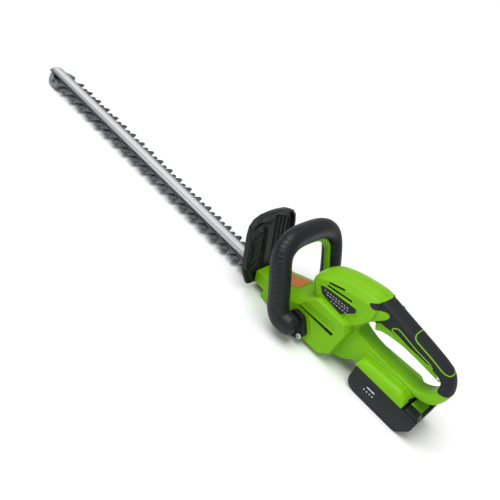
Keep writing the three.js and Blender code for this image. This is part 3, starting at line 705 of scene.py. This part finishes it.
def displaced(obj, distance):
    """The object with its skin moved outward, in mm."""
    modifier = obj.modifiers.new("move", "DISPLACE")
    modifier.mid_level = 0
    modifier.strength = distance * MM
    return applied(obj)


def half_of(obj, side, name, gap=0.12):
    """One side of a symmetrical piece."""
    low, high = sorted((side * gap, side * 100))
    return keep(copied(obj, name), block((-500, 0), (low, high), (-10, 200)))


HOUSING_SCREWS = [
    (-136, 27), (-288, 106), (-250, 117), (-275, 30), (-318, 127.5), (-438.5, 86),
]


def screw_wells(side):
    """The wells that the screws stand in, all on the right side."""
    if side > 0:
        return []
    return [rod(x, z, (-60, -18.1), 4.2) for x, z in HOUSING_SCREWS]


# The rubber's edge on the side of the rear handle, as x and z.
GRIP_REACH = [
    (-306, 160), (-304, 141), (-297, 132), (-286, 125.6), (-295, 123), (-315, 127.8),
    (-320, 124), (-317, 117), (-306, 105), (-334, 109.5), (-404, 109.5), (-420, 106),
    (-425, 92), (-434, 87), (-444, 90), (-470, 90), (-470, 160),
]


def grip_core():
    """The housing under the rubber."""
    loop = cut(stretch(LOOP, 1.6), hand_opening(1.6))
    return join(loop, stretch(POD, 1.6), handle_flare(1.6))


def make_grips(skin):
    """The two rubber grips; returns the cutter for their seat in the housing."""
    rubber = displaced(copied(skin), 0.7)
    keep(rubber, slab(GRIP_REACH, -60, 60, 3))
    core = grip_core()
    cut(rubber, copied(core))
    for side, name in BOTH_SIDES:
        half = half_of(rubber, side, f"grip_{name}_rubber", 0.1)
        cut(half, block((-428, -302), (-14.5, 14.5), (92, 113.5)), *screw_wells(side))
        softened(painted(half, RUBBER), 40)
        settled(half, "housing", "rubber_grip", f"grip_{name}")
        inlay = [(x, side * 19.6, z) for x, z in SIDE_INLAY]
        settled(piping(f"grip_{name}_inlay", inlay, rubber), "housing", "green_housing")
    settled(piping("grip_top_inlay", top_inlay(), rubber), "housing", "green_housing")
    drop(rubber)
    return cut(slab(inset(GRIP_REACH, 0.3), -60, 60, 3), core)


# Green piping let into the rubber: on the sides as x and z, on top as x, y and z.
SIDE_INLAY = [
    (-331.5, 113), (-334.5, 117.5), (-341, 119.8), (-357, 117.5), (-374, 114.8), (-390, 113.6),
    (-402, 112.4), (-408, 108.5), (-407, 105.5), (-400, 106.4), (-374, 108.4), (-348, 110.4),
    (-335.5, 111),
]
TOP_INLAY = [
    (-361, 9, 130.5), (-362.4, 14, 127.5), (-367, 17, 125.2), (-380, 17.4, 123.6),
    (-395, 17.4, 121.8), (-409, 17.4, 119.4), (-422, 16.8, 117), (-428.4, 13.4, 117),
    (-432, 8, 116.4),
]


def top_inlay():
    """The loop on top of the handle, the same on both sides."""
    right = [(x, -y, z) for x, y, z in reversed(TOP_INLAY)]
    return [(-360.6, 0, 131), *TOP_INLAY, (-433, 0, 116), *right]


def smooth_loop(points, steps=9):
    """A closed curve through points."""
    knots = [Vector(p) for p in points]
    path = []
    for i in range(len(knots)):
        a, b, c, d = (knots[(i + k - 1) % len(knots)] for k in range(4))
        for step in range(steps):
            t = step / steps
            bend = (2 * a - 5 * b + 4 * c - d) * t * t + (3 * b - a - 3 * c + d) * t**3
            path.append(0.5 * (2 * b + (c - a) * t + bend))
    return path


def piping(name, points, skin, width=1.7, height=0.45):
    """A closed bead that lies on a skin."""
    polygons = [tuple(face.vertices) for face in skin.data.polygons]
    tree = BVHTree.FromPolygons([v.co for v in skin.data.vertices], polygons)
    spots = [tree.find_nearest(p * MM)[:2] for p in smooth_loop(points)]
    path = [spot / MM for spot, normal in spots]
    count, sides = len(path), 8
    ring_points, faces = [], []
    for k, (spot, normal) in enumerate(spots):
        ahead = path[(k + 1) % count] - path[k - 1]
        across = ahead.cross(normal).normalized()
        for i in range(sides):
            turn = 2 * math.pi * i / sides
            offset = across * (width / 2 * math.cos(turn)) + normal * (height * math.sin(turn))
            ring_points.append(path[k] + offset)
            here, after = k * sides, (k + 1) % count * sides
            j = (i + 1) % sides
            faces.append((here + i, after + i, after + j, here + j))
    bead = outward(mesh_object(name, ring_points, faces, GREEN))
    return softened(bead, 60)


NAMEPLATE_RIM = [
    (-213, 93.6), (-218, 87), (-222, 83.4), (-242, 80.8), (-262, 78.8), (-271, 88), (-281, 99),
    (-279, 104), (-276, 105.6), (-250, 101.8), (-223, 98),
]


def make_housing():
    skin = outer_skin()
    for side, name in BOTH_SIDES:
        outline = [(x, side * 34, z) for x, z in NAMEPLATE_RIM]
        rim = piping(f"nameplate_rim_{name}", outline, skin, 2.4, 1.5)
        settled(rim, "housing", "green_housing")
    seat = make_grips(skin)
    cut(skin, inner_room(), seat)
    for side, name in BOTH_SIDES:
        half = half_of(skin, side, f"housing_{name}_shell")
        cut(half, *housing_cuts(side), *screw_wells(side))
        softened(painted(half, GREEN), 38)
        settled(half, "housing", "green_housing", f"housing_{name}")
    drop(skin)


make_housing()


# ------------------------------------------------------------ the front handle

BAIL_LEFT = [
    (-229, 66.4, 30), (-216, 68, 28.5), (-203, 69.2, 29), (-192, 70, 38), (-181, 71, 59),
    (-168, 71, 83), (-157, 70, 101), (-150, 64, 112.5), (-145.5, 51, 120.5), (-143, 34, 124.5),
]
BAIL_TOP = (-142, 0, 126)
SWITCH_LEFT = [
    (-195, 58, 38), (-182, 58, 60), (-169, 58, 82), (-161.5, 57, 94.5), (-156, 49, 104),
    (-151.5, 36, 111.5), (-149.5, 18, 114.5),
]
SWITCH_TOP = (-149.2, 0, 115)
LEAN = math.radians(30.5)
BAIL_NORMAL = (math.cos(LEAN), 0, -math.sin(LEAN))
BAIL_RADIUS = 16.5
BAIL_CORE = 13
BAIL_MIDDLE = (-0.168, 0, 0.083)  # where the two shells part, in metres
BAR_RADIUS = 5.8
BAR_TRAVEL = 3
RING_FIRST, RING_STEP, RING_COUNT = 0.115, 0.0168, 16  # shares of the handle's length


def both_sides(left, middle):
    return [*left, middle, *[(x, -y, z) for x, y, z in reversed(left)]]


def ring_groove(share, spots, width, depth):
    """How deep the fine rings cut at a share of the way along the handle."""
    return sum(depth * math.exp(-(((share - s) / width) ** 2)) for s in spots)


def make_front_handle():
    path = smooth_path(both_sides(BAIL_LEFT, BAIL_TOP), 1101)
    rings = [RING_FIRST + RING_STEP * k for k in range(RING_COUNT)]
    rings += [1 - s for s in rings]

    def radius(share, turn):
        seam = 0.35 * math.exp(-((math.sin(turn) / 0.045) ** 2))
        end = 5.5 * max(0, 1 - min(share, 1 - share) / 0.035) ** 2
        return BAIL_RADIUS - ring_groove(share, rings, 0.0013, 0.5) - seam - end

    outer = sweep("bail", path, radius, 48, BAIL_NORMAL)
    core_path = smooth_path(both_sides(BAIL_LEFT[1:], BAIL_TOP), 120)
    core = sweep("core", core_path, BAIL_CORE, 24, BAIL_NORMAL)
    bar = both_sides(SWITCH_LEFT, SWITCH_TOP)
    up = Vector((math.sin(LEAN), 0, math.cos(LEAN)))
    slots = []
    for rise in (-0.4, BAR_TRAVEL / 2, BAR_TRAVEL + 0.4):
        lifted = smooth_path([Vector(p) + up * rise for p in bar], 120)
        slots.append(sweep("slot", lifted, BAR_RADIUS + 1, 24, BAIL_NORMAL))
    cut(outer, core, *slots)
    for front, name in ((True, "handle_shell_front"), (False, "handle_shell_rear")):
        reach = (0.08, 120) if front else (-120, -0.08)
        half = block(reach, (-120, 120), (-160, 160))
        half.data.transform(Matrix.Translation(BAIL_MIDDLE) @ Matrix.Rotation(LEAN, 4, "Y"))
        shell = keep(copied(outer, f"{name}_moulding"), half)
        softened(painted(shell, BLACK), 40)
        settled(shell, "housing", "black_plastic", name)
    drop(outer)
    bar_path = smooth_path(bar, 240)
    inner = sweep("front_bar_moulding", bar_path, BAR_RADIUS, 32, BAIL_NORMAL)
    softened(painted(inner, GREEN), 40)
    settled(inner, "switch_bar", "green_housing", "front_switch_bar")


make_front_handle()


# --------------------------------------------------------- rows of small ridges


def ridge_row_tree():
    """Geometry nodes for a straight row of rounded ridges."""
    tree = bpy.data.node_groups.new("row of ridges", "GeometryNodeTree")
    for title, kind in (
        ("Count", "NodeSocketInt"), ("Start", "NodeSocketVector"), ("Step", "NodeSocketVector"),
        ("Size", "NodeSocketVector"), ("Turn", "NodeSocketRotation"),
        ("Finish", "NodeSocketMaterial"),
    ):
        tree.interface.new_socket(title, in_out="INPUT", socket_type=kind)
    tree.interface.new_socket("Ridges", in_out="OUTPUT", socket_type="NodeSocketGeometry")
    values = tree.nodes.new("NodeGroupInput").outputs
    line = tree.nodes.new("GeometryNodeMeshLine")
    line.mode = "OFFSET"
    bead = tree.nodes.new("GeometryNodeMeshUVSphere")
    bead.inputs["Segments"].default_value = 14
    bead.inputs["Rings"].default_value = 8
    bead.inputs["Radius"].default_value = 0.5
    place = tree.nodes.new("GeometryNodeInstanceOnPoints")
    real = tree.nodes.new("GeometryNodeRealizeInstances")
    paint = tree.nodes.new("GeometryNodeSetMaterial")
    out = tree.nodes.new("NodeGroupOutput")
    for start, end in (
        (values["Count"], line.inputs["Count"]),
        (values["Start"], line.inputs["Start Location"]),
        (values["Step"], line.inputs["Offset"]),
        (line.outputs["Mesh"], place.inputs["Points"]),
        (bead.outputs["Mesh"], place.inputs["Instance"]),
        (values["Size"], place.inputs["Scale"]),
        (values["Turn"], place.inputs["Rotation"]),
        (place.outputs["Instances"], real.inputs["Geometry"]),
        (real.outputs["Geometry"], paint.inputs["Geometry"]),
        (values["Finish"], paint.inputs["Material"]),
        (paint.outputs["Geometry"], out.inputs["Ridges"]),
    ):
        tree.links.new(start, end)
    return tree


RIDGE_ROW = ridge_row_tree()


def ridges(name, material, count, start, step, size, turn=(0, 0, 0)):
    """A row of rounded ridges; places and sizes in mm, turn in degrees."""
    obj = bpy.data.objects.new(name, bpy.data.meshes.new(name))
    bpy.context.scene.collection.objects.link(obj)
    modifier = obj.modifiers.new("row", "NODES")
    modifier.node_group = RIDGE_ROW
    values = {
        "Count": count, "Start": Vector(start) * MM, "Step": Vector(step) * MM,
        "Size": Vector(size) * MM, "Turn": [math.radians(t) for t in turn], "Finish": material,
    }
    for item in RIDGE_ROW.interface.items_tree:
        if item.name in values:
            modifier[item.identifier] = values[item.name]
    applied(obj)
    obj.data.polygons.foreach_set("use_smooth", [True] * len(obj.data.polygons))
    return obj


def make_housing_ridges():
    for side, name in BOTH_SIDES:
        y = side * 41.2
        row = ridges(
            f"side_panel_ridges_{name}", GREEN, 17, (-216, y, 58), (-3.3, 0, 0.22),
            (1.5, 1.4, 7.5), (0, -12, 0),
        )
        settled(row, "housing", "green_housing")


make_housing_ridges()


# ---------------------------------------------------------------- the hand guard


GUARD_LEAN = math.radians(22)
GUARD_FOOT = (-119, 8)
FLAT_RIBS = [(-12, 26, 103), (-22, 24, 101), (-32, 24, 98), (-42, 26, 93)]  # across, low, high
GUARD_ARCH = [(10, 92), (25, 97), (40, 92), (50, 84), (51, 60), (50, 30)]


def on_guard(obj):
    """Takes a shape drawn as across, up and out of the guard's rear face to its place."""
    lean = GUARD_LEAN
    axes = Matrix((
        (0, math.sin(lean), -math.cos(lean), GUARD_FOOT[0] * MM),
        (1, 0, 0, 0),
        (0, math.cos(lean), math.sin(lean), GUARD_FOOT[1] * MM),
        (0, 0, 0, 1),
    ))
    obj.data.transform(axes)
    return outward(obj)


def guard_bar(points, width, height):
    """A straight-sided rib through (across, up) points on the guard's rear face."""
    path = smooth_path([(x, y, 0) for x, y in points], 4 * len(points))
    bar = sweep("rib", path, width / 2, 12, (0, 0, 1), squash=2 * height / width)
    return on_guard(bar)


def make_guard():
    guard = refined("hand_guard", 1.1, "hand_guard_moulding", 3)
    ribs = []
    for x, low, high in FLAT_RIBS:
        line = [(x, low), (x * 1.04, 0.5 * (low + high)), (x * 1.1, high)]
        ribs.append(guard_bar(line, 3.2, 2.0))
    ribs += [guard_bar([(x, 26), (x, 50), (x + 1, 88)], 2.6, 2.2) for x in (10, 14.5)]
    ribs += [guard_bar([(20, up), (32, up - 7), (43, up - 15)], 5, 2.0) for up in (80, 64, 48, 34)]
    for side in (1, -1):
        ribs.append(guard_bar([(side * 47, 27), (side * 38, 14), (side * 30, 4)], 6, 2.2))
    ribs.append(guard_bar(GUARD_ARCH, 2.2, 1.8))
    join(guard, *ribs)
    softened(painted(guard, BLACK), 40)
    settled(guard, "housing", "black_plastic", "hand_guard")


make_guard()


# ----------------------------------------------------- pieces with eased edges

EASED = [
    ("handle_bracket_left", 1.4, BLACK, "housing", "black_plastic"),
    ("handle_bracket_right", 1.4, BLACK, "housing", "black_plastic"),
    ("upper_blade", 0.45, BLADE, "upper_blade", "blade_steel"),
    ("lower_blade", 0.45, BLADE, "lower_blade", "blade_steel"),
    ("tip_protector", 0.9, GREY, "housing", "grey_plastic"),
    ("trigger", 1.0, GREEN, "trigger", "green_housing"),
    ("battery_base", 2.2, CHARCOAL, "battery", "charcoal_plastic"),
    ("battery_cover", 1.2, CHARCOAL, "battery", "charcoal_plastic"),
    ("release_button", 0.8, GREEN, "release_button", "green_housing"),
]


def make_eased_pieces():
    for node, width, material, body, slot in EASED:
        piece = refined(node, width)
        settled(painted(piece, material), body, slot, node)


make_eased_pieces()


def make_support_bar():
    bar = refined("blade_support_bar", 0.7)
    painted(bar, STEEL)
    # faces that do not look upward get the dark blade steel as painted shade
    bar.data.materials.append(BLADE)
    for face in bar.data.polygons:
        if face.normal.z < 0.25:
            face.material_index = 1
    settled(bar, "housing", "bar_steel", "blade_support_bar")


make_support_bar()


def make_screws():
    """Screw heads with a six-lobed recess."""
    heads = [
        (f"housing_screw_{n + 1}", x, z, -21, -1, 2.0) for n, (x, z) in enumerate(HOUSING_SCREWS)
    ]
    for side, name in BOTH_SIDES:
        heads.append((f"bracket_screw_{name}", *BRACKET_SCREW, side * 53.4, side, 2.3))
    for node, x, z, y, side, reach in heads:
        screw = refined(node, 0.35)
        low, high = sorted((y - side * 1.3, y + side))
        lobes = []
        for k in range(36):
            turn = 2 * math.pi * k / 36
            radius = reach * (0.86 + 0.14 * math.cos(6 * turn))
            lobes.append((x + radius * math.cos(turn), z + radius * math.sin(turn)))
        cut(screw, slab(lobes, low, high))
        settled(softened(painted(screw, SCREW), 35), "housing", "screw_steel", node)


make_screws()


def make_prints():
    """Plain bars where the labels would be printed."""
    slope = math.degrees(math.atan2(16, 38))
    for k, width in enumerate((20, 26, 17, 23)):
        bar = ridges(
            f"deck_label_bar_{k + 1}", PLATE, 1, (-163 - 5 * k, 3, 43.9 + 2.1 * k), (0, 0, 0),
            (3.2, width, 0.8), (0, slope, 0),
        )
        settled(bar, "housing", "orange_label")
    for side, name in BOTH_SIDES:
        for k, (count, x, z) in enumerate(((9, -224, 92.6), (8, -231, 89.4), (6, -241, 85.6))):
            row = ridges(
                f"nameplate_{name}_bars_{k + 1}", PRINT, count, (x, side * 32.5, z),
                (-5.2, 0, 0.5), (3.4, 0.3, 0.9), (0, 5, 0),
            )
            settled(row, "housing", "black_label")


make_prints()


def make_battery_details():
    for side, name in BOTH_SIDES:
        dots = ridges(
            f"charge_dots_{name}", PRINT, 4, (-356, side * 36.9, 17.5), (-5.2, 0, 0),
            (2.4, 0.5, 2.4),
        )
        settled(dots, "battery", "charcoal_plastic")
        bar = ridges(
            f"battery_mark_{name}", PRINT, 2, (-361, side * 36.9, 24), (-7, 0, 0), (9.5, 0.5, 2.2),
        )
        settled(bar, "battery", "charcoal_plastic")
    line = ridges("battery_rear_line", GREEN, 1, (-439.6, 0, 16.6), (0, 0, 0), (1.2, 56, 1.1))
    settled(line, "battery", "green_housing")
    slope = math.degrees(math.atan2(7, 19))
    bumps = ridges(
        "release_button_ridges", GREEN, 6, (-420.5, 0, 43.6), (-2.6, 0, -0.96), (1.4, 30, 1.5),
        (0, slope, 0),
    )
    settled(bumps, "release_button", "green_housing")


make_battery_details()


# ---------------------------------------------------------------- CAD finishes

FINISHES = {
    "deck_label": ORANGE,
    "nameplate_left": PLATE,
    "nameplate_right": PLATE,
    "front_switch": BLACK,
    "gear_case_lower": ALLOY,
    "gear_case_upper": ALLOY,
    "drive_gear": BLADE,
    "gear_shaft": SCREW,
    "bearing_lower": SCREW,
    "bearing_upper": SCREW,
    "motor_can": ALLOY,
    "motor_rotor": COPPER,
    "motor_pinion": BLADE,
    "motor_fan": BLACK,
    "trigger_pin": SCREW,
    "trigger_spring": SCREW,
    "trigger_switch": BLACK,
    "control_board": BOARD,
    "terminal_block": BLACK,
    "battery_board": BOARD,
}
for name, obj in nodes.items():
    if name.startswith("cell_"):
        painted(obj, WRAP)
    elif "screw" in name or "bolt" in name:
        painted(obj, SCREW)
    elif name in FINISHES:
        painted(obj, FINISHES[name])


# ----------------------------------------------------------- floor, light, view


def make_floor():
    size = 6000
    corners = [(-size, -size, 0), (size, -size, 0), (size, size, 0), (-size, size, 0)]
    floor = mesh_object("studio_floor", corners, [(0, 1, 2, 3)])
    paint = Finish("studio_white", (0.93, 0.93, 0.93), 0.7)
    painted(floor, paint.material)


def aimed(data, place, target):
    light = bpy.data.objects.new(data.name, data)
    light.location = place
    light.rotation_mode = "QUATERNION"
    light.rotation_quaternion = (Vector(target) - Vector(place)).to_track_quat("-Z", "Y")
    bpy.context.scene.collection.objects.link(light)


def add_softbox(name, place, size, power):
    data = bpy.data.lights.new(name, "AREA")
    data.size = size
    data.energy = power
    aimed(data, place, (-0.1, 0, 0.05))


def add_sky_light(name, place, spread, power):
    data = bpy.data.lights.new(name, "SUN")
    data.angle = math.radians(spread)
    data.energy = power
    aimed(data, place, (0, 0, 0))


def make_studio():
    make_floor()
    world = bpy.data.worlds.new("studio")
    world.use_nodes = True
    sky = world.node_tree.nodes["Background"].inputs
    sky["Color"].default_value = (1, 1, 1, 1)
    sky["Strength"].default_value = 0.38
    bpy.context.scene.world = world
    add_sky_light("overhead", (0.35, 0.25, 1), 55, 2.7)
    add_softbox("side_softbox", (-1.5, 0.9, 0.9), 1.0, 4)
    bpy.context.scene.view_settings.view_transform = "Standard"


VIEW_PLACE = (-0.4788, 0.9074, 0.6756)
VIEW_BACK = (-0.3407, 0.7651, 0.5462)
VIEW_RIGHT = (-0.6757, -0.6041, 0.4237)
LENS = 53.6


def make_camera():
    data = bpy.data.cameras.new("view")
    data.lens = LENS
    data.sensor_width = 36
    data.dof.use_dof = False
    camera = bpy.data.objects.new("view", data)
    back = Vector(VIEW_BACK).normalized()
    right = Vector(VIEW_RIGHT)
    right = (right - back * right.dot(back)).normalized()
    up = back.cross(right)
    turn = Matrix((right, up, back)).transposed().to_4x4()
    camera.matrix_world = Matrix.Translation(VIEW_PLACE) @ turn
    bpy.context.scene.collection.objects.link(camera)
    bpy.context.scene.camera = camera


make_studio()
make_camera()
